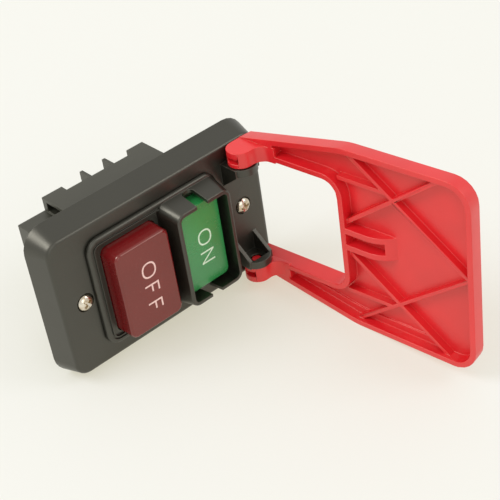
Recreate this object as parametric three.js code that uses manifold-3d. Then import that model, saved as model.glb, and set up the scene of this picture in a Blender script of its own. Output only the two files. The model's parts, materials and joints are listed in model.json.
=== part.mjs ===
// Paddle-type ON/OFF push-button safety switch for a machine.
// Millimetres. +X runs along the faceplate to the hinge end, +Y runs back into the panel, +Z is up.
// The origin is the middle of the faceplate's rear rim, in the plane of the panel it screws to.
// The stop paddle is drawn fully open; it closes by turning about the hinge axis, which is along Z.
import * as THREE from "three";
import { mergeVertices } from "three/addons/utils/BufferGeometryUtils.js";
import Module from "manifold-3d";

const wasm = await Module();
wasm.setup();

// ---- Driving dimensions ----
const GAP = 0.3; // running clearance between neighbouring pieces
const STEPS = 6; // facets in a quarter of a round corner

const PLATE = {
  length: 113, // at the rear rim
  height: 72,
  depth: 11.7,
  draft: 3, // how much each side comes in from the rear rim to the front face
  wall: 2.4,
  corner: 10, // corner radius at the rear rim
  frontCorner: 6.5,
  edge: 1.6, // rounding of the front edge
};
const SCREW_SPACING = 84; // fixing centres of a single-gang box
const SCREW = { shank: 3.5, head: 7.4, headHeight: 2.3, seat: 0.5, length: 21, boss: 7.4 };

const BEZEL_EDGE = 7; // from the faceplate's front edge to the bezel, above and below
const FRAME = {
  x0: -37.3, // left edge of the bezel
  x1: 29,
  height: PLATE.height - 2 * (PLATE.draft + BEZEL_EDGE),
  corner: 6,
  proud: 2.2, // how far the bezel stands off the faceplate
  floor: 1.2, // front of the floor that the buttons come through
  floorWall: 1.5,
  neckInset: 1.9, // from the bezel's edge to the neck that passes the faceplate
  neckWall: 1.2,
  grooveInset: 2.1,
  grooveWidth: 0.8,
};
const OFF_WIDTH = 28.5;
const OFF_BORDER = { left: 5.85, top: 4.3 }; // from the bezel's edges to the OFF button
const OFF_BUTTON = {
  x: FRAME.x0 + OFF_BORDER.left + OFF_WIDTH / 2,
  width: OFF_WIDTH,
  height: FRAME.height - 2 * OFF_BORDER.top,
  proud: 10.7,
  draftX: 1.8,
  draftZ: 0.2,
};
const SHROUD_BORDER = { left: 0.55, right: 0.9, top: 1.1 }; // from the OFF button and the bezel's edges
const SHROUD = {
  x0: FRAME.x0 + OFF_BORDER.left + OFF_WIDTH + SHROUD_BORDER.left,
  x1: FRAME.x1 - SHROUD_BORDER.right,
  height: FRAME.height - 2 * SHROUD_BORDER.top,
  front: 13,
  wall: 1.8,
  taper: 1.5,
  corner: 4,
};
const ON_BORDER = { left: 3, right: 2.5, top: 3.1 }; // from the inside of the shroud to the ON button
const ON_WIDTH = SHROUD.x1 - SHROUD.x0 - 2 * SHROUD.wall - ON_BORDER.left - ON_BORDER.right;
const ON_BUTTON = {
  x: SHROUD.x0 + SHROUD.wall + ON_BORDER.left + ON_WIDTH / 2,
  width: ON_WIDTH,
  height: SHROUD.height - 2 * (SHROUD.wall + ON_BORDER.top),
  proud: 8,
  draftX: 0.3,
  draftZ: 0.3,
};
const FINGER_NOTCH = { width: 5.5, shift: -0.85, depth: 10.3, corner: 2 }; // shift: off the button's middle
const BUTTON = { clearance: 0.4, flange: 0.9, flangeThick: 1.2, wall: 1.8, corner: 2.6, edge: 0.6, stem: 6 };
const TRAVEL = 3; // how far either button is pushed

const HINGE = { x: 40, front: 6.3 }; // hinge axis: along the faceplate, and in front of its face
const LUG = { radius: 6.5, outer: 25.2, thick: 3.6, web: 1.8, ribReach: 10.7, ribWall: 1.8, lip: 3.4 };
const PIN = { radius: 2.2, recess: 0.5 };

const EAR = {
  inner: LUG.outer + GAP,
  thick: 7.3,
  radius: 5.8,
  armStart: 12.5,
  fillet: 5.2,
  rootDepth: 1.5, // how far the ear reaches into the arm's wall
  stopGap: 0.5, // left between the open paddle and its stop
};
const EAR_SLOT = { inset: 1.9, width: 2.5, halfLength: 2.8, depth: 3 }; // in the ear's round end
const PADDLE = {
  openAngle: 97, // from lying over the faceplate to fully open
  length: 106.9, // hinge axis to the free edge
  rim: 5.4, // rim plane, measured from the hinge axis to the outside
  skin: 12.8, // outer face, measured the same way
  draft: 0.5, // how much the skin is smaller than the rim on each side
  wall: 2.6,
  floor: 2.2,
  ribWall: 1.7,
  ribTop: 2, // how far the ribs stay below the rim
  ledgeWidth: 3.4, // a shallow step along the upper and lower walls
  ledgeHeight: 0.8,
  ledgeEnd: 88,
  earHalf: EAR.inner + EAR.thick, // half the height over the ears
  shoulderAt: 48, // where the arms stop widening
  shoulderHalf: 43.6,
  endHalf: 44.4,
  corner: 11,
};
const WINDOW_MARGIN = 0.8; // from the ears' inner sides to the window's edges
const WINDOW = { end: 44.3, half: EAR.inner + WINDOW_MARGIN, corner: 7, wall: 2.4, draft: 1.2 };
const PUSHER = { half: 5.4, slotHalf: 2.7, flatEnd: 57, slotEnd: 64.6, end: 68.6 };
const CROSS = { s: 70.1, z: 25.2, slope: 0.75 }; // where the crossed ribs meet, and their slope

const BODY = {
  x0: -28.3,
  x1: 24.5,
  half: FRAME.height / 2,
  rear: 25.2,
  block: 3.8, // how far the middle and the ends stand behind the bays' floor
  fin: 6.8, // how far the fins do
  wall: 2,
};
const BODY_EAR = { x0: -41.8, inset: 6.3, front: 12.5 };
const BODY_FLANGE = { sideways: 0.2, upright: 1, thick: 2, boxMargin: 1.4 };
const POCKET = { depth: 6, wall: 1.6, width: 4.1, y0: 13, y1: 26 };

const COIL = { outer: 8, winding: 7.2, bore: 2.5, tube: 4.2, y0: 7.4, flange: 1.2, margin: 1 };
const YOKE = {
  leg: 4.4,
  side: 2.2,
  gap: 0.4,
  back: 2.4,
  face: 6.4,
  thick: 6,
  wallGap: 1.2,
  roomGap: 0.9,
  coverGap: 0.7,
};
const YOKE_HALF = COIL.outer + YOKE.gap + YOKE.side;
const COIL_X = BODY.x0 + BODY.wall + YOKE.wallGap + YOKE_HALF;
const CHAMBER = {
  ledge: -4.9,
  rear: 8,
  sideWall: 4.2,
  coilHalf: COIL.outer + COIL.margin,
  coilRight: COIL_X + YOKE_HALF + YOKE.roomGap,
};
const CHAMBER_HALF = BODY.half - CHAMBER.sideWall;
const WELL = { depth: 6, radius: 3.4 }; // for the carriage's spring
const INNER_PLATE = { front: -6.5, thick: 1.3 };
const COVER = { ear: 2.8, end: 2.2, lip: 1.6, thick: 1.9, screwLeft: 6, screwRight: 4.3 };
const COVER_X0 = BODY_EAR.x0 + COVER.ear;
const COVER_X1 = BODY.x1 - COVER.end;
const COVER_HALF = CHAMBER.coilHalf + COVER.lip;
const COVER_SCREWS_X = [COVER_X0 + COVER.screwLeft, COVER_X1 - COVER.screwRight];
const COVER_SCREW = { shank: 2.6, head: 5, headHeight: 1.5, length: 9 };

const TERMINAL = { width: 6.3, thick: 0.8, inset: 4.5, standing: 6.3, foot: 6.6, footReach: 5.5, hole: 1.7 };
const TERMINAL_Z = CHAMBER_HALF - TERMINAL.inset;
const CONTACT = { radius: 1.6, height: 0.9 };
const BRIDGE = { width: 4.6, thick: 0.9, overlap: 1.3, contactInset: 3.7, coilGap: 0.55 };
const BAY = { count: 3, pitch: 11.75, leftEnd: 6.3, rightEnd: 4.2, depth: 4.8, fin: 1.6 };
const SPRING = { wire: 0.6, sides: 6, perTurn: 10 };

// ---- Places worked out from them ----
const FACE = -PLATE.depth; // the faceplate's front face
const BEZEL_Y = FACE - FRAME.proud; // front of the bezel
const FLOOR_Y = FACE - FRAME.floor;
const FLOOR_BACK = FLOOR_Y + FRAME.floorWall;
const PLATE_BACK = FACE + PLATE.wall;
const BODY_FRONT = PLATE_BACK + GAP;
const BLOCK_REAR = BODY.rear + BODY.block;
const FIN_REAR = BODY.rear + BODY.fin;
const COIL_Y1 = BLOCK_REAR - COVER.thick - YOKE.coverGap - YOKE.back - GAP;
const TERMINAL_TIP = BODY.rear + TERMINAL.standing;
const FRAME_X = (FRAME.x0 + FRAME.x1) / 2;
const FRAME_LENGTH = FRAME.x1 - FRAME.x0;
const HINGE_Y = FACE - HINGE.front;
const CONTACT_REST = TERMINAL.foot - CONTACT.height - GAP - TRAVEL; // tip of a moving contact at rest
const BRIDGE_Y = CONTACT_REST - CONTACT.height - BRIDGE.thick;
const ARMATURE_Y1 = YOKE.face - GAP - TRAVEL;

const CONTACT_Z = TERMINAL_Z - BRIDGE.contactInset;
// The first bay is the coil's; the other bays each hold a pair of contacts.
const secondBay = CHAMBER.coilRight + BRIDGE.coilGap + BRIDGE.width / 2;
const bayX = Array.from({ length: BAY.count }, (_, i) => secondBay + (i - 1) * BAY.pitch);
const BAY_LEFT = bayX[0] - BAY.leftEnd;
const BAY_RIGHT = bayX.at(-1) + BAY.rightEnd;
const BAY_INNER = TERMINAL_Z - BAY.depth;
const CARRIER_GAP = 1.1; // from the chamber's left wall
const CARRIER_END = 6.8; // past the middle of the last bay
const CARRIER = {
  x0: BODY.x0 + BODY.wall + CARRIER_GAP,
  x1: bayX.at(-1) + CARRIER_END,
  y0: BRIDGE_Y - 5,
  y1: BRIDGE_Y + BRIDGE.thick + 1.3,
  half: 5,
};
const CARRIAGE_SPRING_X = (bayX[1] + bayX[2]) / 2;

// ---- Finishes ----
const finish = (color, roughness, metalness = 0) =>
  new THREE.MeshStandardMaterial({ color, roughness, metalness });
const BLACK = finish(0x2b2a27, 0.55);
const HOUSING_BLACK = finish(0x26262a, 0.6);
const OFF_RED = finish(0x7a2024, 0.35);
const ON_GREEN = finish(0x2f8748, 0.38);
const PADDLE_RED = finish(0xd83a38, 0.42);
const NICKEL = finish(0xc9c3b6, 0.28, 1);
const BRASS = finish(0xb9974a, 0.35, 1);
const COPPER = finish(0xb5652d, 0.4, 1);
const STEEL = finish(0x8d9094, 0.4, 1);
const SILVER = finish(0xd5d5d0, 0.3, 1);
const NATURAL = finish(0xd9d2bd, 0.5);

// ---- Outlines: arrays of [a, b] points, anticlockwise ----
function arc(cx, cy, r, from, to, steps = STEPS) {
  const points = [];
  for (let i = 0; i <= steps; i++) {
    const a = THREE.MathUtils.degToRad(from + ((to - from) * i) / steps);
    points.push([cx + r * Math.cos(a), cy + r * Math.sin(a)]);
  }
  return points;
}

function roundedRect(cx, cy, width, height, r, steps = STEPS) {
  const a = width / 2 - r;
  const b = height / 2 - r;
  return [
    ...arc(cx + a, cy + b, r, 0, 90, steps),
    ...arc(cx - a, cy + b, r, 90, 180, steps),
    ...arc(cx - a, cy - b, r, 180, 270, steps),
    ...arc(cx + a, cy - b, r, 270, 360, steps),
  ];
}

const rect = (x0, y0, x1, y1) => [[x0, y0], [x1, y0], [x1, y1], [x0, y1]];

// Rounds the corners of a polygon; each point is [a, b, radius].
function filleted(corners, steps = STEPS) {
  const points = [];
  corners.forEach(([x, y, r], i) => {
    if (!r) {
      points.push([x, y]);
      return;
    }
    const here = new THREE.Vector2(x, y);
    const [px, py] = corners[(i + corners.length - 1) % corners.length];
    const [nx, ny] = corners[(i + 1) % corners.length];
    const back = new THREE.Vector2(px, py).sub(here).normalize();
    const on = new THREE.Vector2(nx, ny).sub(here).normalize();
    const half = Math.acos(THREE.MathUtils.clamp(back.dot(on), -1, 1)) / 2;
    const centre = back.clone().add(on).normalize().multiplyScalar(r / Math.sin(half)).add(here);
    const start = back.clone().multiplyScalar(r / Math.tan(half)).add(here).sub(centre);
    const end = on.clone().multiplyScalar(r / Math.tan(half)).add(here).sub(centre);
    let turn = end.angle() - start.angle();
    if (turn > Math.PI) turn -= 2 * Math.PI;
    if (turn < -Math.PI) turn += 2 * Math.PI;
    for (let k = 0; k <= steps; k++) {
      const p = start.clone().rotateAround(new THREE.Vector2(), (turn * k) / steps).add(centre);
      points.push([p.x, p.y]);
    }
  });
  return points;
}

// ---- Solids ----
function solidOf(geometry) {
  const bare = geometry.clone();
  bare.deleteAttribute("normal");
  bare.deleteAttribute("uv");
  const merged = mergeVertices(bare, 1e-4);
  return new wasm.Manifold(
    new wasm.Mesh({
      numProp: 3,
      vertProperties: new Float32Array(merged.attributes.position.array),
      triVerts: new Uint32Array(merged.index.array),
    }),
  );
}

function extruded(outline, depth) {
  const shape = new THREE.Shape(outline.map(([a, b]) => new THREE.Vector2(a, b)));
  return new THREE.ExtrudeGeometry(shape, { depth, bevelEnabled: false, curveSegments: STEPS });
}

// A prism along Z of an outline in X and Y.
function prismZ(outline, z0, z1) {
  return solidOf(extruded(outline, z1 - z0).translate(0, 0, z0));
}

// A prism along Y of an outline in X and Z.
function prismY(outline, y0, y1) {
  return solidOf(extruded(outline, y1 - y0).rotateX(Math.PI / 2).translate(0, y1, 0));
}

// A prism along X of an outline in Y and Z.
function prismX(outline, x0, x1) {
  const turn = new THREE.Matrix4().makeBasis(
    new THREE.Vector3(0, 1, 0),
    new THREE.Vector3(0, 0, 1),
    new THREE.Vector3(1, 0, 0),
  );
  return solidOf(extruded(outline, x1 - x0).applyMatrix4(turn).translate(x0, 0, 0));
}

const block = (x0, x1, y0, y1, z0, z1) => prismY(rect(x0, z0, x1, z1), y0, y1);

// A cylinder or cone along Y, from radius r0 at y0 to r1 at y1.
function roundY(x, z, y0, y1, r0, r1 = r0, sides = 4 * STEPS) {
  const geometry = new THREE.CylinderGeometry(r1, r0, y1 - y0, sides);
  return solidOf(geometry.translate(x, (y0 + y1) / 2, z));
}

// A cylinder along Z.
function roundZ(x, y, z0, z1, r, sides = 4 * STEPS) {
  const geometry = new THREE.CylinderGeometry(r, r, z1 - z0, sides).rotateX(Math.PI / 2);
  return solidOf(geometry.translate(x, y, (z0 + z1) / 2));
}

// A solid of revolution about a line along Y through x, z; the profile is [radius, y].
function turnedY(x, z, profile, sides = 4 * STEPS) {
  const points = profile.map(([r, y]) => new THREE.Vector2(r, y));
  return solidOf(new THREE.LatheGeometry(points, sides).translate(x, 0, z));
}

// A skin through outlines of equal point count, from the front (lowest y) to the rear.
function loftY(sections) {
  const count = sections[0].outline.length;
  const position = sections.flatMap(({ y, outline }) => outline.flatMap(([x, z]) => [x, y, z]));
  const index = [];
  for (let s = 0; s + 1 < sections.length; s++) {
    for (let i = 0; i < count; i++) {
      const a = s * count + i;
      const b = s * count + ((i + 1) % count);
      index.push(a, a + count, b, b, a + count, b + count);
    }
  }
  const cap = (outline) =>
    THREE.ShapeUtils.triangulateShape(outline.map(([x, z]) => new THREE.Vector2(x, z)), []);
  const last = (sections.length - 1) * count;
  cap(sections[0].outline).forEach(([a, b, c]) => index.push(a, b, c));
  cap(sections.at(-1).outline).forEach(([a, b, c]) => index.push(last + a, last + c, last + b));
  const geometry = new THREE.BufferGeometry();
  geometry.setAttribute("position", new THREE.Float32BufferAttribute(position, 3));
  geometry.setIndex(index);
  return solidOf(geometry);
}

const union = (solids) => solids.reduce((all, one) => all.add(one));
const cut = (from, solids) => solids.reduce((rest, one) => rest.subtract(one), from);

function meshOf(name, solid, material) {
  const { vertProperties, triVerts } = solid.getMesh();
  const geometry = new THREE.BufferGeometry();
  geometry.setAttribute("position", new THREE.BufferAttribute(new Float32Array(vertProperties), 3));
  geometry.setIndex(new THREE.BufferAttribute(new Uint32Array(triVerts), 1));
  geometry.computeVertexNormals();
  const mesh = new THREE.Mesh(geometry, material);
  mesh.name = name;
  return mesh;
}

// Sections that round the front edge of a tapered box, from its front face at y.
function roundedFront(y, edge, outlineAt) {
  return [0, 30, 60, 90].map((degrees) => {
    const a = THREE.MathUtils.degToRad(degrees);
    return { y: y + edge * (1 - Math.sin(a)), outline: outlineAt(edge * (1 - Math.cos(a))) };
  }).reverse();
}

// ---- Faceplate ----
function plateOutline(y, inset) {
  const share = -y / PLATE.depth;
  const shrink = 2 * (PLATE.draft * share + inset);
  const corner = PLATE.corner + (PLATE.frontCorner - PLATE.corner) * share - inset;
  return roundedRect(0, 0, PLATE.length - shrink, PLATE.height - shrink, corner);
}

function hingeLug() {
  const left = HINGE.x - LUG.radius;
  const right = HINGE.x + LUG.radius;
  const root = FACE + PLATE.wall / 2;
  const nose = [[left, root], ...arc(HINGE.x, HINGE_Y, LUG.radius, 180, 360, 2 * STEPS), [right, root]];
  const inner = LUG.outer - LUG.thick;
  const floor = LUG.outer - LUG.web;
  const ribRoot = LUG.outer - LUG.ribReach;
  const tongue = prismZ(nose, inner, LUG.outer);
  const lip = HINGE_Y - LUG.radius + LUG.lip;
  const side = [[root, LUG.outer], [lip, LUG.outer], [lip, inner], [FACE, ribRoot], [root, ribRoot]];
  const ribs = [left, right - LUG.ribWall].map((x) => prismX(side, x, x + LUG.ribWall));
  const inside = block(left + LUG.ribWall, right - LUG.ribWall, lip, FACE, inner - 1, floor);
  const pinHole = roundZ(HINGE.x, HINGE_Y, floor - 1, LUG.outer + 1, PIN.radius + GAP);
  return cut(union([tongue, ...ribs]), [inside, pinHole]);
}

function makeFaceplate() {
  const outer = loftY([
    ...roundedFront(FACE, PLATE.edge, (inset) => plateOutline(FACE, inset)),
    { y: 0, outline: plateOutline(0, 0) },
  ]);
  const hollow = loftY([
    { y: PLATE_BACK, outline: plateOutline(PLATE_BACK, PLATE.wall) },
    { y: 1, outline: plateOutline(1, PLATE.wall) },
  ]);
  const cutout = prismY(neckOutline(-GAP), FACE - 1, PLATE_BACK + 1);
  const lug = hingeLug();
  const screwX = [-SCREW_SPACING / 2, SCREW_SPACING / 2];
  const bosses = screwX.map((x) => roundY(x, 0, PLATE_BACK - 0.5, -GAP, SCREW.boss / 2));
  const holes = screwX.flatMap((x) => [
    roundY(x, 0, FACE - 1, 1, SCREW.shank / 2 + GAP),
    roundY(x, 0, FACE - 1, FACE + SCREW.seat + GAP, SCREW.head / 2 + GAP),
  ]);
  const shell = cut(outer, [hollow, cutout]);
  return cut(union([shell, lug, lug.mirror([0, 0, 1]), ...bosses]), holes);
}

// ---- Front frame: bezel, floor and the shroud round the ON button ----
function frameOutline(inset) {
  const width = FRAME_LENGTH - 2 * inset;
  return roundedRect(FRAME_X, 0, width, FRAME.height - 2 * inset, Math.max(FRAME.corner - inset, 1));
}

const neckOutline = (inset) => frameOutline(FRAME.neckInset + inset);

function shroudOutline(y, inset) {
  const draft = (SHROUD.taper * (FLOOR_Y - y)) / SHROUD.front;
  const width = SHROUD.x1 - SHROUD.x0 - 2 * (draft + inset);
  const height = SHROUD.height - 2 * (draft * 1.4 + inset);
  const corner = Math.max(SHROUD.corner - inset, 1);
  return roundedRect((SHROUD.x0 + SHROUD.x1) / 2, 0, width, height, corner);
}

function buttonOpening(button) {
  const width = button.width + 2 * BUTTON.clearance;
  const height = button.height + 2 * BUTTON.clearance;
  return roundedRect(button.x, 0, width, height, BUTTON.corner + BUTTON.clearance);
}

function makeFrontFrame() {
  const flange = loftY([
    ...roundedFront(BEZEL_Y, 1.2, frameOutline),
    { y: FACE - GAP, outline: frameOutline(0) },
  ]);
  const sunk = prismY(frameOutline(FRAME.grooveInset + FRAME.grooveWidth + 0.6), BEZEL_Y - 1, FLOOR_Y);
  const groove = cut(prismY(frameOutline(FRAME.grooveInset), BEZEL_Y - 1, BEZEL_Y + 0.7), [
    prismY(frameOutline(FRAME.grooveInset + FRAME.grooveWidth), BEZEL_Y - 2, BEZEL_Y + 1),
  ]);
  const neck = prismY(neckOutline(0), FLOOR_Y + 0.3, PLATE_BACK - 0.1);
  const neckHollow = prismY(neckOutline(FRAME.neckWall), FLOOR_BACK, PLATE_BACK + 1);
  const bezel = cut(union([cut(flange, [sunk, groove]), neck]), [neckHollow]);
  const front = FACE - SHROUD.front;
  const shroud = loftY([
    ...roundedFront(front, 0.7, (inset) => shroudOutline(front, inset)),
    { y: FLOOR_Y + 0.5, outline: shroudOutline(FLOOR_Y + 0.5, 0) },
  ]);
  const shroudHollow = loftY([
    { y: front - 1, outline: shroudOutline(front - 1, SHROUD.wall) },
    { y: FLOOR_Y, outline: shroudOutline(FLOOR_Y, SHROUD.wall) },
  ]);
  const notchEnd = front + FINGER_NOTCH.depth;
  const notchX0 = ON_BUTTON.x + FINGER_NOTCH.shift - FINGER_NOTCH.width / 2;
  const notchX1 = notchX0 + FINGER_NOTCH.width;
  const notch = filleted([
    [notchX0, front - 1, 0],
    [notchX1, front - 1, 0],
    [notchX1, notchEnd, FINGER_NOTCH.corner],
    [notchX0, notchEnd, FINGER_NOTCH.corner],
  ]);
  const tall = SHROUD.height;
  const buttons = [OFF_BUTTON, ON_BUTTON];
  const openings = buttons.map((b) => prismY(buttonOpening(b), BEZEL_Y - 1, FLOOR_BACK + 0.1));
  return cut(union([bezel, cut(shroud, [shroudHollow])]), [...openings, prismZ(notch, -tall, tall)]);
}

// ---- Buttons: hollow caps with a retaining flange and a stem ----
function makeButton(button, stemEnd) {
  const face = FACE - button.proud;
  const back = FLOOR_BACK + GAP + BUTTON.flangeThick;
  const outline = (y, inset) => {
    const share = (FLOOR_Y - y) / (FLOOR_Y - face);
    const width = button.width - 2 * (inset + share * button.draftX);
    const height = button.height - 2 * (inset + share * button.draftZ);
    return roundedRect(button.x, 0, width, height, Math.max(BUTTON.corner - inset, 0.8));
  };
  const cap = loftY([
    ...roundedFront(face, BUTTON.edge, (inset) => outline(face, inset)),
    { y: FLOOR_Y, outline: outline(FLOOR_Y, 0) },
    { y: back, outline: outline(FLOOR_Y, 0) },
  ]);
  const hollow = loftY([
    { y: face + BUTTON.wall, outline: outline(face, BUTTON.wall) },
    { y: back + 1, outline: outline(FLOOR_Y, BUTTON.wall) },
  ]);
  const flange = cut(prismY(outline(FLOOR_Y, -BUTTON.flange), FLOOR_BACK + GAP, back), [
    prismY(outline(FLOOR_Y, BUTTON.wall / 2), face, back + 1),
  ]);
  const stem = roundY(button.x, 0, face + BUTTON.wall / 2, stemEnd, BUTTON.stem / 2);
  return union([cut(union([cap, flange]), [hollow]), stem]);
}

// A closed coil spring about a line along Y.
function makeSpring(x, z, y0, y1, radius, turns) {
  class Helix extends THREE.Curve {
    getPoint(t, target = new THREE.Vector3()) {
      const a = 2 * Math.PI * turns * t;
      const reach = y1 - y0 - SPRING.wire;
      const y = y0 + SPRING.wire / 2 + reach * t;
      return target.set(x + radius * Math.cos(a), y, z + radius * Math.sin(a));
    }
  }
  const section = new THREE.Shape(
    arc(0, 0, SPRING.wire / 2, 0, 360, SPRING.sides).slice(0, -1).map(([a, b]) => new THREE.Vector2(a, b)),
  );
  const steps = Math.round(turns * SPRING.perTurn);
  return solidOf(
    new THREE.ExtrudeGeometry(section, { steps, extrudePath: new Helix(), bevelEnabled: false }),
  );
}

// ---- Stop paddle, in its own axes: X away from the hinge, Y outwards, Z up ----
function trayOutline(inset) {
  const end = PADDLE.length - inset;
  const upper = [
    [end, PADDLE.endHalf - inset, PADDLE.corner - inset],
    [PADDLE.shoulderAt, PADDLE.shoulderHalf - inset, 30],
    [-EAR.radius, PADDLE.earHalf - inset, 0],
  ];
  const lower = [...upper].reverse().map(([s, z, r]) => [s, -z, r]);
  return filleted([...lower, ...upper]);
}

function windowOutline(grow) {
  const half = WINDOW.half + grow;
  const corner = WINDOW.corner + grow;
  const end = WINDOW.end + grow;
  const start = -EAR.radius - 10;
  return filleted([[start, -half, 0], [end, -half, corner], [end, half, corner], [start, half, 0]]);
}

function makeTray() {
  const { rim, skin, draft } = PADDLE;
  const outer = loftY([
    { y: rim, outline: trayOutline(0) },
    { y: skin - 1, outline: trayOutline(draft) },
    { y: skin, outline: trayOutline(draft + 0.7) },
  ]);
  const opening = loftY([
    { y: rim - 1, outline: windowOutline(0) },
    { y: skin + 1, outline: windowOutline(-WINDOW.draft) },
  ]);
  return cut(outer, [opening]);
}

function makePocket() {
  const floor = PADDLE.skin - PADDLE.floor;
  const band = prismY(trayOutline(PADDLE.wall), floor - PADDLE.ledgeHeight, floor);
  const inner = prismY(trayOutline(PADDLE.wall + PADDLE.ledgeWidth), PADDLE.rim - 1, PADDLE.skin);
  const { ledgeEnd, length, rim, skin, endHalf } = PADDLE;
  const beyond = block(ledgeEnd, length, rim, skin, -endHalf, endHalf);
  const ledge = cut(band, [inner, beyond]);
  const inside = cut(prismY(trayOutline(PADDLE.wall), PADDLE.rim - 1, floor), [ledge]);
  const keep = prismY(windowOutline(WINDOW.wall), PADDLE.rim - 2, PADDLE.skin);
  const far = PADDLE.endHalf + 10;
  const root = block(-EAR.radius - 20, EAR.armStart, PADDLE.rim - 2, PADDLE.skin, -far, far);
  return cut(inside, [keep, root]);
}

// A straight rib between two points of the tray's floor.
function rib(s0, z0, s1, z1) {
  const along = new THREE.Vector2(s1 - s0, z1 - z0).normalize();
  const a = (-along.y * PADDLE.ribWall) / 2;
  const b = (along.x * PADDLE.ribWall) / 2;
  const strip = [[s0 - a, z0 - b], [s1 - a, z1 - b], [s1 + a, z1 + b], [s0 + a, z0 + b]];
  return prismY(strip, PADDLE.rim + PADDLE.ribTop, PADDLE.skin - PADDLE.floor / 2);
}

function makeRibs() {
  const { s, z, slope } = CROSS;
  const inner = WINDOW.end + WINDOW.wall / 2;
  const end = PADDLE.length - PADDLE.wall / 2;
  const wallZ = PADDLE.endHalf - PADDLE.wall / 2;
  const short = WINDOW.half + WINDOW.wall - PADDLE.ribWall / 2;
  return [1, -1].flatMap((side) => [
    rib(s - (wallZ - z) / slope, side * wallZ, end, side * (z - slope * (end - s))),
    rib(inner, side * (z - slope * (s - inner)), s + (wallZ - z) / slope, side * wallZ),
    rib(inner - 2, side * short, s - (short - z) / slope, side * short),
  ]);
}

// The two-walled pusher that bears on the OFF button.
function makePusher() {
  const { half, slotHalf, flatEnd, slotEnd, end } = PUSHER;
  const top = PADDLE.rim;
  const foot = PADDLE.skin - PADDLE.floor / 2;
  const drop = PADDLE.skin - PADDLE.floor - top;
  const run = end - flatEnd;
  const r = (run * run + drop * drop) / (2 * drop);
  const sweep = THREE.MathUtils.radToDeg(Math.asin(run / r));
  const inner = WINDOW.end + WINDOW.wall / 2;
  const profile = [
    [inner, foot],
    [inner, top],
    ...arc(flatEnd, top + r, r, 270, 270 + sweep),
    [end, foot],
  ];
  const body = prismZ(profile, -half, half);
  const slotStart = WINDOW.end + WINDOW.wall;
  const slot = block(slotStart, slotEnd, top - 1, PADDLE.skin - PADDLE.floor, -slotHalf, slotHalf);
  return { body, slot };
}

function makeEar() {
  const r = EAR.radius;
  const turn = THREE.MathUtils.degToRad(PADDLE.openAngle - 90);
  // The end face lies flat along the faceplate when the paddle is fully open.
  const stopAt = (d) => (d * Math.sin(turn) - (HINGE.front - EAR.stopGap)) / Math.cos(turn);
  const armRoot = PADDLE.rim + EAR.rootDepth;
  const profile = [
    ...arc(0, 0, r, 180, 360, 2 * STEPS),
    ...arc(r + EAR.fillet, PADDLE.rim - EAR.fillet, EAR.fillet, 180, 90),
    [EAR.armStart + 1, PADDLE.rim],
    [EAR.armStart + 1, armRoot],
    [stopAt(armRoot), armRoot],
  ];
  const ear = prismZ(profile, EAR.inner, PADDLE.earHalf);
  const pin = roundZ(0, 0, LUG.outer - LUG.web + PIN.recess, EAR.inner + 1, PIN.radius);
  const { inset, width, halfLength, depth } = EAR_SLOT;
  const slotZ = EAR.inner + inset;
  const slot = block(-halfLength, halfLength, -r - 1, -r + depth, slotZ, slotZ + width);
  return { ear, pin, slot, stopAt };
}

function makePaddle() {
  const { ear, pin, slot, stopAt } = makeEar();
  const pocket = makePocket();
  const { body, slot: pusherSlot } = makePusher();
  const ribs = union(makeRibs()).intersect(pocket.add(makeTray()));
  const far = PADDLE.endHalf + 10;
  // What reaches past the stop face is cut away.
  const past = [
    [-40, 0],
    [stopAt(0), 0],
    [stopAt(PADDLE.skin + 5), PADDLE.skin + 5],
    [-40, PADDLE.skin + 5],
  ];
  const tray = cut(makeTray(), [pocket]).add(ribs).add(body);
  const solid = cut(union([tray, ear, ear.mirror([0, 0, 1])]), [
    prismZ(past, -far, far),
    pusherSlot,
    slot,
    slot.mirror([0, 0, 1]),
  ]);
  return union([solid, pin, pin.mirror([0, 0, 1])]);
}

// ---- Fasteners ----
function makeScrew(x, z, seat, size, out) {
  const rise = [0, 30, 60, 85].map((degrees) => {
    const a = THREE.MathUtils.degToRad(degrees);
    return [(size.head / 2) * Math.cos(a), seat + out * size.headHeight * Math.sin(a)];
  });
  const tip = seat - out * size.length;
  const shank = size.shank / 2;
  const profile = [[0, rise.at(-1)[1]], ...rise.reverse(), [shank, seat], [shank, tip], [0, tip]];
  const screw = turnedY(x, z, out < 0 ? profile : profile.reverse());
  const arm = size.head * 0.52;
  const top = seat + out * size.headHeight;
  const y0 = Math.min(top - out * 1, top + out * 0.5);
  const cross = [0.8, arm].map((w, i) => {
    const h = i ? 0.8 : arm;
    return block(x - w / 2, x + w / 2, y0, y0 + 1.5, z - h / 2, z + h / 2);
  });
  return cut(screw, cross);
}

// ---- Switch housing with its terminal bays ----
function terminalSlot(x, z) {
  const side = Math.sign(z);
  const half = TERMINAL.width / 2 + GAP;
  const outer = z + side * (TERMINAL.thick + GAP);
  return block(x - half, x + half, CHAMBER.rear - 1, BODY.rear + 1, z - side * GAP, outer);
}

function housingBlocks() {
  const main = block(BODY.x0, BODY.x1, -1, BODY.rear, -BODY.half, BODY.half);
  const { x0, inset, front } = BODY_EAR;
  const half = BODY.half - inset;
  const ear = block(x0, BODY.x0 + 1, front, BLOCK_REAR, -half, half);
  const middle = block(BODY.x0, BODY.x1, BODY.rear - 1, BLOCK_REAR, -BAY_INNER, BAY_INNER);
  const ends = [[BODY.x0, BAY_LEFT], [BAY_RIGHT, BODY.x1]].map(([x0, x1]) =>
    block(x0, x1, BODY.rear - 1, BLOCK_REAR, -BODY.half, BODY.half));
  const fins = bayX.slice(1).map((x) => x - BAY.pitch / 2).map((x) =>
    block(x - BAY.fin / 2, x + BAY.fin / 2, BODY.rear - 1, FIN_REAR, -BODY.half, BODY.half));
  return [main, ear, middle, ...ends, ...fins];
}

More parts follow.
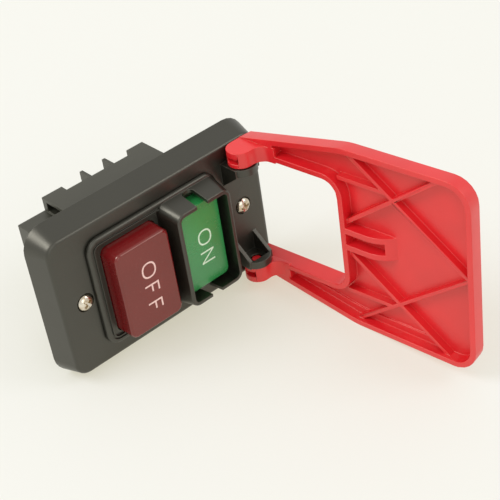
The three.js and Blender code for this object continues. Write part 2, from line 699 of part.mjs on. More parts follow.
function makeHousing() {
  const { sideways, upright, thick, boxMargin } = BODY_FLANGE;
  const flangeLength = FRAME_LENGTH + 2 * sideways;
  const flangeOutline = roundedRect(FRAME_X, 0, flangeLength, FRAME.height + 2 * upright, FRAME.corner);
  const flange = prismY(flangeOutline, BODY_FRONT, BODY_FRONT + thick);
  const box = prismY(neckOutline(-boxMargin), BODY_FRONT, 0);
  const chamberX0 = BODY.x0 + BODY.wall;
  const chamberX1 = BODY.x1 - BODY.wall;
  const front = prismY(neckOutline(BODY.wall - boxMargin), BODY_FRONT - 1, CHAMBER.ledge);
  const { ledge, rear, coilHalf, coilRight } = CHAMBER;
  const contactRoom = block(chamberX0, chamberX1, ledge - 1, rear, -CHAMBER_HALF, CHAMBER_HALF);
  const coilRoom = block(chamberX0, coilRight, 0, BLOCK_REAR + 1, -coilHalf, coilHalf);
  const springWell = roundY(CARRIAGE_SPRING_X, 0, 0, rear + WELL.depth, WELL.radius);
  const rebate = block(COVER_X0 - GAP, COVER_X1 + GAP, BLOCK_REAR - COVER.thick - GAP, FIN_REAR + 1,
    -COVER_HALF - GAP, COVER_HALF + GAP);
  const screwHoles = COVER_SCREWS_X.map((x) =>
    roundY(x, 0, BLOCK_REAR - COVER_SCREW.length - 1, BLOCK_REAR, COVER_SCREW.shank / 2 + GAP));
  const { depth, wall, width, y0, y1 } = POCKET;
  const outer = BODY.half - wall;
  const pockets = [1, -1].map((side) =>
    block(BODY.x0 - 1, BODY.x0 + depth, y0, y1, side * (outer - width), side * outer));
  const slots = bayX.flatMap((x) => [terminalSlot(x, TERMINAL_Z), terminalSlot(x, -TERMINAL_Z)]);
  return cut(union([flange, box, ...housingBlocks()]), [
    front, contactRoom, coilRoom, springWell, rebate, ...screwHoles, ...pockets, ...slots,
  ]);
}

// The plate between the buttons and the contacts, with a hole for each stem.
function makeInnerPlate() {
  const { front, thick } = INNER_PLATE;
  const plate = prismY(neckOutline(BODY.wall - BODY_FLANGE.boxMargin + GAP), front, front + thick);
  const holes = [OFF_BUTTON, ON_BUTTON].map((b) =>
    roundY(b.x, 0, front - 1, front + thick + 1, BUTTON.stem / 2 + GAP));
  return cut(plate, holes);
}

function makeRearCover() {
  const front = BLOCK_REAR - COVER.thick;
  const plate = block(COVER_X0, COVER_X1, front, BLOCK_REAR, -COVER_HALF, COVER_HALF);
  const holes = COVER_SCREWS_X.map((x) =>
    roundY(x, 0, front - 1, BLOCK_REAR + 1, COVER_SCREW.shank / 2 + GAP));
  return cut(plate, holes);
}

// ---- Terminals: a spade blade, a foot and a fixed contact ----
function makeTerminal(x, side) {
  const { width, thick, foot, footReach, hole } = TERMINAL;
  const z = TERMINAL_Z;
  const tip = TERMINAL_TIP;
  const half = width / 2;
  const chamfer = 1.2;
  const outline = [
    [x - half, foot], [x + half, foot], [x + half, tip - chamfer], [x + half - chamfer, tip],
    [x - half + chamfer, tip], [x - half, tip - chamfer],
  ];
  const blade = cut(prismZ(outline, z, z + thick), [roundZ(x, tip - 4, z - 1, z + 2, hole / 2, 12)]);
  const sole = block(x - half, x + half, foot, foot + thick, z - footReach, z + thick / 2);
  const contact = roundY(x, CONTACT_Z, foot - CONTACT.height, foot + thick / 2, CONTACT.radius);
  const terminal = union([blade, sole, contact]);
  return side > 0 ? terminal : terminal.mirror([0, 0, 1]);
}

// ---- Moving contact set ----
function makeBridge(x) {
  const { width, thick, overlap } = BRIDGE;
  const end = TERMINAL_Z - overlap;
  const strip = block(x - width / 2, x + width / 2, BRIDGE_Y, BRIDGE_Y + thick, -end, end);
  const tips = [1, -1].map((side) =>
    roundY(x, side * CONTACT_Z, BRIDGE_Y + thick / 2, CONTACT_REST, CONTACT.radius));
  return union([strip, ...tips]);
}

function makeCarrier() {
  const { y0, y1, half, x0, x1 } = CARRIER;
  const bar = block(x0, x1, y0, y1, -half, half);
  const windows = [bayX[1], bayX[2]].map((x) =>
    block(x - BRIDGE.width / 2 - GAP, x + BRIDGE.width / 2 + GAP, y0 + 1.5, BRIDGE_Y + BRIDGE.thick + GAP,
      -half - 1, half + 1));
  const armatureEnd = COIL_X + YOKE_HALF + GAP;
  const armatureSeat = block(x0 - 1, armatureEnd, ARMATURE_Y1 - YOKE.back - GAP, y1 + 1, -half - 1, half + 1);
  return cut(bar, [...windows, armatureSeat]);
}

function makeArmature() {
  const half = YOKE_HALF;
  const thick = YOKE.thick / 2;
  return block(COIL_X - half, COIL_X + half, ARMATURE_Y1 - YOKE.back, ARMATURE_Y1, -thick, thick);
}

// ---- Holding magnet ----
function makeYoke() {
  const { leg, side, back, face, thick } = YOKE;
  const half = YOKE_HALF;
  const y1 = COIL_Y1 + GAP + back;
  const centre = block(COIL_X - leg / 2, COIL_X + leg / 2, face, y1, -leg / 2, leg / 2);
  const sides = [-half, half - side].map((x) =>
    block(COIL_X + x, COIL_X + x + side, face, y1, -thick / 2, thick / 2));
  const bar = block(COIL_X - half, COIL_X + half, y1 - back, y1, -thick / 2, thick / 2);
  return union([centre, ...sides, bar]);
}

function makeBobbin() {
  const { outer, bore, tube, y0, flange } = COIL;
  const x = COIL_X;
  const y1 = COIL_Y1;
  const solid = union([
    roundY(x, 0, y0, y0 + flange, outer),
    roundY(x, 0, y0, y1, tube),
    roundY(x, 0, y1 - flange, y1, outer),
  ]);
  const square = bore * 2;
  return cut(solid, [block(x - square / 2, x + square / 2, y0 - 1, y1 + 1, -square / 2, square / 2)]);
}

function makeWinding() {
  const { winding, tube, y0, flange } = COIL;
  const x = COIL_X;
  const y1 = COIL_Y1;
  const a = y0 + flange + GAP;
  const b = y1 - flange - GAP;
  return cut(roundY(x, 0, a, b, winding), [roundY(x, 0, a - 1, b + 1, tube + GAP)]);
}

// ---- Assembly ----
const root = new THREE.Group();
root.name = "paddle_switch";

const stemEnd = CARRIER.y0 - GAP;
root.add(
  meshOf("faceplate", makeFaceplate(), BLACK),
  meshOf("front_frame", makeFrontFrame(), BLACK),
  meshOf("off_button", makeButton(OFF_BUTTON, stemEnd - TRAVEL), OFF_RED),
  meshOf("on_button", makeButton(ON_BUTTON, stemEnd), ON_GREEN),
  meshOf("switch_housing", makeHousing(), HOUSING_BLACK),
  meshOf("inner_plate", makeInnerPlate(), NATURAL),
  meshOf("rear_cover", makeRearCover(), HOUSING_BLACK),
  meshOf("contact_carrier", makeCarrier(), NATURAL),
  meshOf("armature", makeArmature(), STEEL),
  meshOf("magnet_yoke", makeYoke(), STEEL),
  meshOf("coil_bobbin", makeBobbin(), NATURAL),
  meshOf("coil_winding", makeWinding(), COPPER),
);

["left", "right"].forEach((side, i) => {
  const x = (i - 0.5) * SCREW_SPACING;
  root.add(meshOf(`faceplate_screw_${side}`, makeScrew(x, 0, FACE + SCREW.seat, SCREW, -1), NICKEL));
});
COVER_SCREWS_X.forEach((x, i) =>
  root.add(meshOf(`cover_screw_${i + 1}`, makeScrew(x, 0, BLOCK_REAR + GAP, COVER_SCREW, 1), STEEL)));
bayX.forEach((x, i) =>
  root.add(
    meshOf(`terminal_${2 * i + 1}`, makeTerminal(x, 1), BRASS),
    meshOf(`terminal_${2 * i + 2}`, makeTerminal(x, -1), BRASS),
  ));
bayX.slice(1).forEach((x, i) => {
  const spring = makeSpring(x, 0, CARRIER.y0 + 1.5 + GAP, BRIDGE_Y - GAP, 1.4, 2.5);
  root.add(
    meshOf(`moving_contact_${i + 1}`, makeBridge(x), SILVER),
    meshOf(`contact_spring_${i + 1}`, spring, STEEL),
  );
});

// The return springs are drawn as they are with the buttons pressed.
const springSeat = INNER_PLATE.front - GAP;
[["off_return_spring", OFF_BUTTON], ["on_return_spring", ON_BUTTON]].forEach(([name, button]) => {
  const top = FACE - button.proud + BUTTON.wall + TRAVEL + GAP;
  root.add(meshOf(name, makeSpring(button.x, 0, top, springSeat, BUTTON.stem / 2 + 1.2, 4), STEEL));
});
const carriageTop = CARRIER.y1 + TRAVEL + GAP;
const carriageEnd = CHAMBER.rear + WELL.depth - GAP;
const carriageSpring = makeSpring(CARRIAGE_SPRING_X, 0, carriageTop, carriageEnd, 2.3, 4);
root.add(meshOf("carriage_spring", carriageSpring, STEEL));

const paddle = new THREE.Group();
paddle.position.set(HINGE.x, HINGE_Y, 0);
paddle.rotation.z = THREE.MathUtils.degToRad(180 + PADDLE.openAngle);
paddle.add(meshOf("stop_paddle", makePaddle(), PADDLE_RED));
root.add(paddle);

export default root;
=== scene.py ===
# %% [markdown]
# A machine's stop switch, dressed for the studio. The mechanical model arrives as a fixed frame of
# separate solids, one for each moulding, screw and terminal. This lesson gives those solids their
# finish: small moulded radii, satin and glossy plastics, printed letters, driven screws, and a
# pale table under soft light.

# %% Load the frame
import json
import math

import bmesh
import bpy
from mathutils import Matrix, Vector


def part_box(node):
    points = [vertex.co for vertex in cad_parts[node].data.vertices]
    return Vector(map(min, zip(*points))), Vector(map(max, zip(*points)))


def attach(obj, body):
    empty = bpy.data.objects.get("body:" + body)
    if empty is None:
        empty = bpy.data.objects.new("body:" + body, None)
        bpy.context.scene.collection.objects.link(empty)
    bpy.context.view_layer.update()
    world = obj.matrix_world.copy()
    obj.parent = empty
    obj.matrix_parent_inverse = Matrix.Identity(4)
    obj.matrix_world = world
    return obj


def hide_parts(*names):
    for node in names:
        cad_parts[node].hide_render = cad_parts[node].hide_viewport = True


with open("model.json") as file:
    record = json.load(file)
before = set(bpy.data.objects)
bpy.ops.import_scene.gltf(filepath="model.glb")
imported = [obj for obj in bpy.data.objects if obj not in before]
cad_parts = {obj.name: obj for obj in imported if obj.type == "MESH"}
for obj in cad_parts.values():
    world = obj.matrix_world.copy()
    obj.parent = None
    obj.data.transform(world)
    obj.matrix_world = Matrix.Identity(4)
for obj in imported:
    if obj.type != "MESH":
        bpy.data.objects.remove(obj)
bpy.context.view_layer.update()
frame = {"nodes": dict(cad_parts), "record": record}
NODES = frame["nodes"]
MM = 0.001

# %% [markdown]
# The camera comes first, because every later choice is judged through it. It looks down on the
# switch from the front left with a long lens, and it is rolled a little to one side. The three
# rows below are the camera's right, down and forward directions, so the matrix is built straight
# from them, which keeps the roll.

# %% Camera
CAMERA_RIGHT = Vector((0.733722, -0.667222, -0.128326))
CAMERA_DOWN = Vector((-0.472134, -0.364850, -0.802480))
CAMERA_FORWARD = Vector((0.488612, 0.649384, -0.582716))
CAMERA_PLACE = Vector((-230.5, -373.6, 301.3)) * MM
SENSOR_WIDTH = 36
LENS = 92.07


def add_camera():
    data = bpy.data.cameras.new("camera")
    data.sensor_width = SENSOR_WIDTH
    data.lens = LENS
    data.clip_start = 0.01
    camera = bpy.data.objects.new("camera", data)
    turn = Matrix((CAMERA_RIGHT, -CAMERA_DOWN, -CAMERA_FORWARD)).transposed().to_4x4()
    camera.matrix_world = Matrix.Translation(CAMERA_PLACE) @ turn
    bpy.context.scene.collection.objects.link(camera)
    bpy.context.scene.camera = camera
    return camera


camera = add_camera()
print("camera:", round(camera.data.lens, 1), "mm lens")

# %% [markdown]
# Shaders here are sums of masks, so a small class lets a node's output be used like a number.
# Every +, - or * adds one Math node. One method makes every other node.

# %% Shader sums
class Mask:
    """One number socket of a shader, which can be added, multiplied and compared."""

    def __init__(self, shader, socket):
        self.shader = shader
        self.socket = socket

    def _sum(self, operation, first, second):
        return self.shader.node("ShaderNodeMath", {"operation": operation}, {0: first, 1: second})

    def __add__(self, other):
        return self._sum("ADD", self, other)

    def __radd__(self, other):
        return self._sum("ADD", other, self)

    def __sub__(self, other):
        return self._sum("SUBTRACT", self, other)

    def __rsub__(self, other):
        return self._sum("SUBTRACT", other, self)

    def __mul__(self, other):
        return self._sum("MULTIPLY", self, other)

    def __rmul__(self, other):
        return self._sum("MULTIPLY", other, self)

    def above(self, edge, softness):
        """0 below the edge, 1 above it, with a soft step between."""
        settings = {"interpolation_type": "SMOOTHSTEP"}
        span = {"Value": self, "From Min": edge - softness, "From Max": edge + softness}
        return self.shader.node("ShaderNodeMapRange", settings, span)


class Shader:
    """A material that is made from nodes."""

    def __init__(self, name):
        self.material = bpy.data.materials.new(name)
        self.material.use_nodes = True
        self.tree = self.material.node_tree
        self.surface = self.tree.nodes["Principled BSDF"]
        self.places = self.node("ShaderNodeTexCoord", output="Object")

    def node(self, kind, settings=None, inputs=None, output=0):
        made = self.tree.nodes.new(kind)
        for key, value in (settings or {}).items():
            setattr(made, key, value)
        for key, value in (inputs or {}).items():
            self.link(made.inputs[key], value)
        return Mask(self, made.outputs[output])

    def link(self, entry, value):
        if isinstance(value, Mask):
            self.tree.links.new(value.socket, entry)
        elif hasattr(entry.default_value, "__len__") and len(value) == 3 and entry.type == "RGBA":
            entry.default_value = (*value, 1)
        else:
            entry.default_value = value

    def set(self, **values):
        for key, value in values.items():
            self.link(self.surface.inputs[key.replace("_", " ")], value)

    def noise(self, size_mm, detail=2, rough=0.5, stretch=(1, 1, 1)):
        """Cloudy noise whose lumps are about size_mm across, from 0 to 1."""
        scale = {"Vector": self.places, "Scale": stretch}
        place = self.node("ShaderNodeMapping", {"vector_type": "POINT"}, scale)
        entries = {"Vector": place, "Scale": 1 / (size_mm * MM), "Detail": detail, "Roughness": rough}
        return self.node("ShaderNodeTexNoise", {}, entries)

    def blend(self, mask, first, second):
        """The first colour where the mask is 0, the second where it is 1."""
        factor, colour_a, colour_b, result = 0, 6, 7, 2  # the colour sockets, by their place
        inputs = {factor: mask, colour_a: first, colour_b: second}
        return self.node("ShaderNodeMix", {"data_type": "RGBA"}, inputs, output=result)

    def bump(self, height, depth_mm, strength=1):
        entries = {"Height": height, "Distance": depth_mm * MM, "Strength": strength}
        return self.node("ShaderNodeBump", {}, entries)

    def edges(self, radius_mm):
        """0 on the flats, and more than 0 within the radius of an edge or a corner."""
        soft = self.node("ShaderNodeBevel", {"samples": 6}, {"Radius": radius_mm * MM})
        true = self.node("ShaderNodeNewGeometry", output="Normal")
        settings = {"operation": "DOT_PRODUCT"}
        return 1 - self.node("ShaderNodeVectorMath", settings, {0: soft, 1: true}, output="Value")


def linear(*levels):
    """A display colour, 0 to 255, as the renderer's own linear colour."""
    shares = [level / 255 for level in levels]
    return tuple(s / 12.92 if s <= 0.04045 else ((s + 0.055) / 1.055) ** 2.4 for s in shares)


# %% [markdown]
# Moulded plastic takes its finish from the mould. Spark erosion leaves a fine even grain on the
# steel, so the black parts are satin with a pebbled surface. The mould of a button is polished, so
# it is glossier and smoother. Handling polishes the edges a little, so they are less rough, and a
# paler colour is painted on them as a highlight, partly also wear. One function covers the six
# plastics, because they differ only in colour, gloss and grain. Gloss and its tint are the same all
# over, so they are set on the shader's own sockets.

# %% Moulded plastics
DRIFT_MM = 22  # slow change of shade across a moulding
SMEAR_MM = 5  # patches left by hands
EDGE_SHEEN_MM = 0.45  # how far the painted edge highlight and the polish reach in from an edge
WARM = (1.0, 0.97, 0.84)  # the shine of a slightly yellow resin
GRAINED = {"grain_mm": 0.5, "grain_depth_mm": 0.010}
POLISHED = {"grain_mm": 1.2, "grain_depth_mm": 0.0015}


def moulded(name, colour, sheen_and_speck, roughness, grain_mm, grain_depth_mm, cloud, shine=0.5, tint=(1, 1, 1)):
    """Plastic from a mould: colour on the flats, a painted highlight colour on the edges that is partly
    wear, and the mould's grain.
    """
    shader = Shader(name)
    shader.surface.inputs["Specular IOR Level"].default_value = shine
    shader.surface.inputs["Specular Tint"].default_value = (*tint, 1)
    grain = shader.noise(grain_mm, detail=3, rough=0.6)
    drift = shader.noise(DRIFT_MM, detail=2)
    smears = shader.noise(SMEAR_MM, detail=4, rough=0.65, stretch=(0.35, 1, 1))
    # The edge mask paints a paler highlight colour along the edges, partly wear, and makes them less
    # rough.
    edge = shader.edges(EDGE_SHEEN_MM).above(0.10, 0.09)
    shaded = tuple(level * (1 - cloud) for level in colour)
    lit = tuple(level * (1 + cloud) for level in colour)
    flat = shader.blend(drift.above(0.5, 0.22), shaded, lit)
    speckled = shader.blend(grain.above(0.66, 0.1) * 0.06, flat, sheen_and_speck)
    shader.set(
        Base_Color=shader.blend(edge * (0.25 + 0.4 * smears), speckled, sheen_and_speck),
        Roughness=roughness + 0.12 * (smears - 0.5) + 0.05 * (grain - 0.5) - 0.06 * edge,
        Normal=shader.bump(grain, grain_depth_mm),
    )
    return shader.material


# Each plastic's second colour is the painted edge highlight, partly wear; the grain's specks use it too.
BLACK = moulded(
    "black_satin_plastic", linear(25, 25, 20), linear(96, 96, 84),
    roughness=0.38, cloud=0.10, shine=0.95, tint=WARM, **GRAINED,
)
HOUSING = moulded(
    "housing_plastic", linear(42, 42, 34), linear(92, 92, 80),
    roughness=0.44, grain_mm=0.5, grain_depth_mm=0.012, cloud=0.10, shine=0.9, tint=WARM,
)
OFF_RED = moulded(
    "off_button_plastic", linear(108, 17, 20), linear(176, 98, 86),
    roughness=0.2, cloud=0.05, shine=0.75, tint=WARM, **POLISHED,
)
ON_GREEN = moulded(
    "on_button_plastic", linear(44, 142, 72), linear(140, 200, 146),
    roughness=0.26, cloud=0.05, shine=0.95, **POLISHED,
)
PADDLE_RED = moulded(
    "paddle_plastic", linear(214, 26, 36), linear(240, 120, 98),
    roughness=0.36, grain_mm=0.9, grain_depth_mm=0.004, cloud=0.05, shine=0.85, tint=WARM,
)
NATURAL = moulded(
    "natural_nylon", linear(216, 208, 186), linear(232, 228, 212),
    roughness=0.5, grain_mm=0.8, grain_depth_mm=0.01, cloud=0.12,
)
print("plastics:", 6)

# %% [markdown]
# Metals differ in how they were made. A nickelled screw head is bright with small dents. Stamped
# brass has faint rolling lines. Spring wire is drawn and duller. Copper winding wire is lacquered.
# So one function stretches the same noise into lines, or leaves it round for dents. The words on
# the buttons are printed in a matt ink that is thin in places.

# %% Metals and lettering
def metal(name, colour, tarnish, roughness, line_mm=0.3, line_depth_mm=0.004, stretch=(0.06, 1, 1)):
    """Metal with rolling or drawing lines and a patchy film of tarnish."""
    shader = Shader(name)
    lines = shader.noise(line_mm, detail=3, rough=0.7, stretch=stretch)
    film = shader.noise(3, detail=4, rough=0.6)
    shader.set(
        Base_Color=shader.blend(film.above(0.55, 0.15), colour, tarnish),
        Metallic=1.0,
        Roughness=roughness + 0.18 * (lines - 0.5) + 0.12 * film,
        Normal=shader.bump(lines, line_depth_mm),
    )
    return shader.material


NICKEL = metal(
    "bright_nickel", linear(226, 218, 202), linear(196, 178, 150), 0.14,
    line_mm=0.8, line_depth_mm=0.006, stretch=(1, 1, 1),
)
ZINC = metal("zinc_steel", linear(190, 190, 188), linear(168, 166, 156), 0.3)
SPRING_STEEL = metal("spring_wire", linear(150, 150, 152), linear(120, 118, 114), 0.34)
LAMINATE = metal("rolled_steel", linear(130, 132, 136), linear(98, 94, 90), 0.4)
BRASS = metal("stamped_brass", linear(204, 172, 108), linear(166, 132, 80), 0.28)
SILVER = metal("silver_plate", linear(214, 212, 208), linear(176, 168, 154), 0.26)
COPPER = metal("lacquered_copper", linear(190, 102, 58), linear(150, 74, 40), 0.3)


def printed(name, ink, thin):
    """Pad-printed ink: matt, a little uneven in thickness, so the plastic shows through in places."""
    shader = Shader(name)
    patch = shader.noise(0.7, detail=3, rough=0.6)
    shader.set(
        Base_Color=shader.blend(patch.above(0.58, 0.16) * 0.5, ink, thin),
        Roughness=0.45 + 0.2 * (patch - 0.5),
        Normal=shader.bump(patch, 0.004),
    )
    return shader.material


OFF_INK = printed("off_ink", linear(236, 204, 196), linear(206, 150, 144))
ON_INK = printed("on_ink", linear(218, 242, 216), linear(160, 212, 168))
print("metals:", 7, "inks:", 2)

# %% [markdown]
# The record names a material slot for each solid. Every solid gets that slot's finish, so the ones
# with the right shape already, such as the blades and springs, are dressed without a new mesh.

# %% Finishes of the solids
FINISH_OF_SLOT = {
    "black_plastic": BLACK,
    "housing_plastic": HOUSING,
    "off_plastic": OFF_RED,
    "on_plastic": ON_GREEN,
    "paddle_plastic": PADDLE_RED,
    "natural_plastic": NATURAL,
    "nickel_plate": NICKEL,
    "zinc_steel": ZINC,
    "spring_steel": SPRING_STEEL,
    "magnet_steel": LAMINATE,
    "brass_strip": BRASS,
    "silver_contact": SILVER,
    "copper_wire": COPPER,
}
SLOT_OF_NODE = {part["node"]: part["material_slot"] for part in frame["record"]["subparts"]}
for name, node in NODES.items():
    node.data.materials.clear()
    node.data.materials.append(FINISH_OF_SLOT[SLOT_OF_NODE[name]])

# %% [markdown]
# No moulding has a knife edge: the mould's own corners are rounded, and each edge of the part
# catches a thin line of light. The solids have sharp edges, so each big moulding gets a copy with
# its loose triangles merged and a small bevel on every corner sharper than 35 degrees. Three
# segments keep the turn between neighbouring faces small enough to shade as one curve. Weighted
# normals then keep the big flats flat. The copy stands for the solid.

# %% Mouldings with rounded edges
SHARP = math.radians(35)
MERGE_MM = 0.012  # points closer than this are one point
SLIVER_MM = 0.03  # faces thinner than this go
BEVEL_STEPS = 3
FLAT_WEIGHT = 80  # how far the big faces decide the shading


def add_piece(name, mesh, body, replaced=()):
    """A finished mesh as a piece that rides on a body."""
    piece = bpy.data.objects.new(name, mesh)
    bpy.context.scene.collection.objects.link(piece)
    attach(piece, body)
    if replaced:
        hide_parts(*replaced)
    print(name, len(mesh.polygons), "faces")


def scratch(mesh):
    """An object that only carries modifiers while a mesh is made."""
    piece = bpy.data.objects.new("scratch", mesh)
    bpy.context.scene.collection.objects.link(piece)
    return piece


def evaluated(piece):
    """The piece's mesh with its modifiers applied; the piece itself goes."""
    bpy.context.view_layer.update()
    seen = piece.evaluated_get(bpy.context.evaluated_depsgraph_get())
    mesh = bpy.data.meshes.new_from_object(seen)
    bpy.data.objects.remove(piece)
    return mesh


def merged_copy(node):
    """A copy of a solid's mesh with its loose triangles joined."""
    mesh = NODES[node].data.copy()
    work = bmesh.new()
    work.from_mesh(mesh)
    bmesh.ops.remove_doubles(work, verts=work.verts, dist=MERGE_MM * MM)
    bmesh.ops.dissolve_degenerate(work, edges=work.edges, dist=SLIVER_MM * MM)
    work.to_mesh(mesh)
    work.free()
    return mesh


def bevelled(mesh, radius_mm, steps, clamped=True):
    """The mesh with its sharp edges cut to a small round."""
    piece = scratch(mesh)
    bevel = piece.modifiers.new("edges", "BEVEL")
    bevel.width = radius_mm * MM
    bevel.segments = steps
    bevel.limit_method = "ANGLE"
    bevel.angle_limit = SHARP
    bevel.use_clamp_overlap = clamped
    return evaluated(piece)


def softly_shaded(mesh):
    """Smooth shading that keeps sharp corners sharp and big flats flat."""
    mesh.shade_smooth()
    mesh.set_sharp_from_angle(angle=SHARP)
    piece = scratch(mesh)
    weighting = piece.modifiers.new("flats", "WEIGHTED_NORMAL")
    weighting.keep_sharp = True
    weighting.weight = FLAT_WEIGHT
    return evaluated(piece)


def rounded(node, body, radius_mm):
    """A copy of a solid with rounded edges, which stands for it."""
    mesh = softly_shaded(bevelled(merged_copy(node), radius_mm, BEVEL_STEPS, clamped=False))
    add_piece(node + "_moulding", mesh, body, [node])


EDGE_RADIUS = {
    "faceplate": ("base", 0.25),
    "front_frame": ("base", 0.15),
    "switch_housing": ("base", 0.25),
    "on_button": ("on", 0.15),
    "stop_paddle": ("paddle", 0.3),
}
for node, (body, radius_mm) in EDGE_RADIUS.items():
    rounded(node, body, radius_mm)

# %% [markdown]
# The OFF button is a deep cap with soft edges all round its face, where the light runs along in a
# bright line. A rounded rectangle is lofted from the frame's floor to the face, and its last steps
# follow a quarter circle inwards, which makes the soft edge. It stands a little low in its
# opening, so a thin collar, a part of the frame, closes the rest of the opening. A loft and a ring
# are all that these shapes need, and the letters and the driver's cross use them again.

# %% Lofts and rings
def bridge(work, first, second):
    """Faces between two loops of as many points."""
    for k, point in enumerate(first):
        m = (k + 1) % len(first)
        work.faces.new((point, first[m], second[m], second[k]))


def loop_of(work, outline, place):
    """The points of an outline, each put where place says."""
    return [work.verts.new(place(point)) for point in outline]


def loft(work, loops):
    """A closed solid through loops, from one end to the other."""
    for first, second in zip(loops, loops[1:]):
        bridge(work, first, second)
    work.faces.new(loops[0])
    work.faces.new(loops[-1])


def ring(work, outer, inner):
    """A closed ring; outer and inner are each a front loop and a back loop."""
    corners = (outer[0], inner[0], inner[1], outer[1])
    for k in range(4):
        bridge(work, corners[k], corners[(k + 1) % 4])


def mesh_of(work, name, material, triangles=False):
    """The finished mesh, with its faces turned outwards."""
    bmesh.ops.recalc_face_normals(work, faces=work.faces)
    if triangles:
        bmesh.ops.triangulate(work, faces=work.faces)
    mesh = bpy.data.meshes.new(name)
    work.to_mesh(mesh)
    work.free()
    mesh.materials.append(material)
    return mesh


# %% The OFF button's cap
CAP_MARGIN = {"left": 1.0, "right": 2.2, "bottom": 0.95, "top": 2.45}  # inside the solid's box
CAP_CORNER = 3.4
CAP_SOFT = 1.3  # radius of the soft edge
CAP_DRAFT = 0.35  # taper from the floor to the face
CAP_STEPS = 8  # of the soft edge
ENDS_SHARE = 0.8  # the soft edge is a little tighter at the two ends
CAP_DEPTH = 9.5  # from its face to the frame's floor
COLLAR = {"gap": 0.25, "margin": 0.3, "proud": 0.06, "depth": 1.0}


def rounded_rectangle(x0, x1, z0, z1, radius, steps=8):
    """Corner by corner, anticlockwise seen from the front, in millimetres."""
    centres = (
        (x1 - radius, z1 - radius), (x0 + radius, z1 - radius),
        (x0 + radius, z0 + radius), (x1 - radius, z0 + radius),
    )
    points = []
    for quarter, (x, z) in enumerate(centres):
        for k in range(steps + 1):
            turn = math.pi / 2 * (quarter + k / steps)
            points.append((x + radius * math.cos(turn), z + radius * math.sin(turn)))
    return points


def at_depth(y):
    """Puts a point (x, z) at a depth, in metres."""
    return lambda point: Vector((point[0], y, point[1])) * MM


def add_collar(low, high, sides, face):
    """The frame's own thin ledge round the cap, which closes the rest of the opening."""
    margin, gap = COLLAR["margin"], COLLAR["gap"]
    left, right, bottom, top = sides
    outlines = (
        rounded_rectangle(low.x + margin, high.x - margin, low.z + margin, high.z - margin, CAP_CORNER),
        rounded_rectangle(left - gap, right + gap, bottom - gap, top + gap, CAP_CORNER),
    )
    floor = face + CAP_DEPTH
    places = [at_depth(y) for y in (floor - COLLAR["proud"], floor + COLLAR["depth"])]
    work = bmesh.new()
    ring(work, *([loop_of(work, outline, place) for place in places] for outline in outlines))
    mesh = mesh_of(work, "off_collar", BLACK)
    add_piece("off_collar", mesh, "base")


def add_cap():
    """The OFF button from just behind the frame's floor to its face."""
    low, high = (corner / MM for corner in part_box("off_button"))
    face, base = low.y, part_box("front_frame")[1].y / MM - 1
    sides = (
        low.x + CAP_MARGIN["left"], high.x - CAP_MARGIN["right"],
        low.z + CAP_MARGIN["bottom"], high.z - CAP_MARGIN["top"],
    )
    add_collar(low, high, sides, face)
    left, right, bottom, top = sides
    work = bmesh.new()
    loops = [loop_of(work, rounded_rectangle(*sides, CAP_CORNER), at_depth(base))]
    for k in range(CAP_STEPS + 1):
        turn = math.pi / 2 * k / CAP_STEPS
        inset = CAP_DRAFT + CAP_SOFT * (1 - math.cos(turn))
        end_inset = inset * ENDS_SHARE
        outline = rounded_rectangle(
            left + inset, right - inset, bottom + end_inset, top - end_inset, CAP_CORNER - end_inset,
        )
        loops.append(loop_of(work, outline, at_depth(face + CAP_SOFT * (1 - math.sin(turn)))))
    loft(work, loops)
    mesh = softly_shaded(mesh_of(work, "cap", OFF_RED))
    add_piece("off_button_cap", mesh, "off", ["off_button"])


add_cap()

# %% [markdown]
# The words OFF and ON are pad-printed on the buttons in thin, even strokes, turned a quarter so
# that they read down the switch. Each letter is one closed outline, so it is drawn as a polygon,
# filled, and given the thickness of a heavy ink film. The O is a ring between two rounded loops.

# %% Printed letters
CAP_HEIGHT = 6.9
STROKE = 0.72
INK_FRONT, INK_BACK = -0.05, 0.02  # the ink's two sides, measured from the button's face
LOOP_POWER = 0.86  # 1 is an ellipse; less is squarer
LOOP_POINTS = 48
O_WIDTH, F_WIDTH, N_WIDTH = 7.4, 4.3, 5.8
F_BAR = {"top": 0.35, "share": 0.88}


def letter_f(width):
    top, left = CAP_HEIGHT / 2, -width / 2
    stem, bar, bar_end = left + STROKE, F_BAR["top"], left + width * F_BAR["share"]
    return [
        (left, -top), (stem, -top), (stem, bar - STROKE), (bar_end, bar - STROKE), (bar_end, bar),
        (stem, bar), (stem, top - STROKE), (left + width, top - STROKE), (left + width, top), (left, top),
    ]


def letter_n(width):
    top, half = CAP_HEIGHT / 2, width / 2
    stem, slant = half - STROKE, STROKE * 1.5
    return [
        (-half, -top), (-stem, -top), (-stem, top - slant), (stem, -top), (half, -top),
        (half, top), (stem, top), (stem, -top + slant), (-stem, top), (-half, top),
    ]


def rounded_loop(width, height):
    """Points of a loop between an ellipse and a rounded rectangle."""
    loop = []
    for k in range(LOOP_POINTS):
        turn = 2 * math.pi * k / LOOP_POINTS
        sides = ((math.cos(turn), width), (math.sin(turn), height))
        loop.append(tuple(math.copysign(abs(c) ** LOOP_POWER, c) * size / 2 for c, size in sides))
    return loop


def on_face(x, y, z):
    """Puts a letter's own point on a button's face: it reads towards -Z, its top towards +X."""
    return lambda point: Vector((x + point[1], y, z - point[0])) * MM


def add_lettering(button, letters, x, face_y, material):
    """Printed letters on a button: each is (an outline, or the width of an O, and its z)."""
    name = button + "_letters"
    work = bmesh.new()
    for shape, z in letters:
        places = [on_face(x, face_y + side, z) for side in (INK_FRONT, INK_BACK)]
        if isinstance(shape, list):
            loft(work, [loop_of(work, shape, place) for place in places])
            continue
        outlines = [rounded_loop(shape - 2 * inset, CAP_HEIGHT - 2 * inset) for inset in (0, STROKE)]
        ring(work, *([loop_of(work, outline, place) for place in places] for outline in outlines))
    mesh = mesh_of(work, name, material, triangles=True)
    add_piece(name, mesh, button)


def face_of(node):
    """The middle of a button from side to side, and its face, in millimetres."""
    low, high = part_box(node)
    return (low.x + high.x) / 2 / MM, low.y / MM


